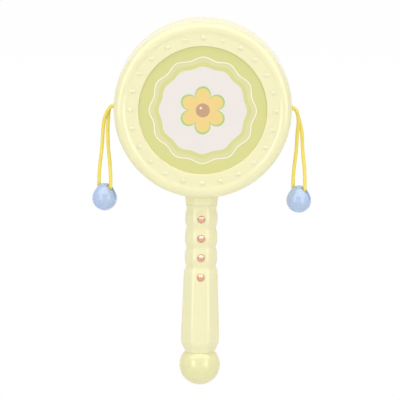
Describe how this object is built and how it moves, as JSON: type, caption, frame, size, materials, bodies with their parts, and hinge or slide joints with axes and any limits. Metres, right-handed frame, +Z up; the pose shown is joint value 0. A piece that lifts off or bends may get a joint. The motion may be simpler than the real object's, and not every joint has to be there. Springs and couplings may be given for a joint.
{
  "type": "pellet drum rattle",
  "caption": "Twist-to-rattle hand drum for a baby: a shallow round drum on a grooved handle with a ball end, and a bead on a doubled cord at each side.",
  "frame": {"origin": "on the handle's axis, midway along the handle, where a hand holds it", "axes": "+Z up the handle to the drum; -Y out of the front drumhead, the face that the pegs are on; +X to the right seen from the front"},
  "size_m": [0.118, 0.0342, 0.1993],
  "materials": {
    "shell_plastic": "satin moulded plastic, pale cream yellow",
    "printed_head": "printed thin plastic sheet, olive ring round an off-white middle",
    "inner_plastic": "moulded plastic, unseen",
    "peg_plastic": "glossy coral plastic",
    "bead_plastic": "glossy pale blue plastic",
    "cord_braid": "braided yellow cord",
    "screw_steel": "zinc-plated steel"
  },
  "bodies": {
    "root": {"front_shell": "shell_plastic", "rear_shell": "shell_plastic", "front_head": "printed_head", "rear_head": "printed_head", "front_head_ring": "inner_plastic", "rear_head_ring": "inner_plastic", "drum_screws": "screw_steel", "handle_front": "shell_plastic", "handle_rear": "shell_plastic", "handle_screws": "screw_steel", "end_knob": "shell_plastic", "peg_1": "peg_plastic", "peg_2": "peg_plastic", "peg_3": "peg_plastic", "peg_4": "peg_plastic", "left_cord_knot": "cord_braid", "right_cord_knot": "cord_braid", "left_cord_root": "cord_braid", "right_cord_root": "cord_braid"},
    "left_upper_cord": {"left_cord_upper": "cord_braid"},
    "left_middle_cord": {"left_cord_middle": "cord_braid"},
    "left_lower_cord": {"left_cord_lower": "cord_braid"},
    "left_ball": {"left_bead": "bead_plastic"},
    "right_upper_cord": {"right_cord_upper": "cord_braid"},
    "right_middle_cord": {"right_cord_middle": "cord_braid"},
    "right_lower_cord": {"right_cord_lower": "cord_braid"},
    "right_ball": {"right_bead": "bead_plastic"}
  },
  "joints": [
    {"name": "left_cord_lift", "type": "hinge", "parent": "root", "child": "left_upper_cord", "pos_m": [-0.0515, 0, 0.092], "axis": [0, 1, 0], "range_deg": [-5, 178]},
    {"name": "left_cord_swing", "type": "hinge", "parent": "left_upper_cord", "child": "left_middle_cord", "pos_m": [-0.0523, 0, 0.086], "axis": [1, 0, 0], "range_deg": [-95, 95]},
    {"name": "left_cord_bend", "type": "hinge", "parent": "left_middle_cord", "child": "left_lower_cord", "pos_m": [-0.0523, 0, 0.0705], "axis": [1, 0, 0], "range_deg": [-80, 80]},
    {"name": "left_bead_rock", "type": "hinge", "parent": "left_lower_cord", "child": "left_ball", "pos_m": [-0.0523, 0, 0.0474], "axis": [0.9063, -0.4226, 0], "range_deg": [-25, 25]},
    {"name": "right_cord_lift", "type": "hinge", "parent": "root", "child": "right_upper_cord", "pos_m": [0.0515, 0, 0.092], "axis": [0, -1, 0], "range_deg": [-5, 178]},
    {"name": "right_cord_swing", "type": "hinge", "parent": "right_upper_cord", "child": "right_middle_cord", "pos_m": [0.0523, 0, 0.086], "axis": [-1, 0, 0], "range_deg": [-95, 95]},
    {"name": "right_cord_bend", "type": "hinge", "parent": "right_middle_cord", "child": "right_lower_cord", "pos_m": [0.0523, 0, 0.0705], "axis": [-1, 0, 0], "range_deg": [-80, 80]},
    {"name": "right_bead_rock", "type": "hinge", "parent": "right_lower_cord", "child": "right_ball", "pos_m": [0.0523, 0, 0.0474], "axis": [-0.9063, 0.4226, 0], "range_deg": [-25, 25]}
  ]
}
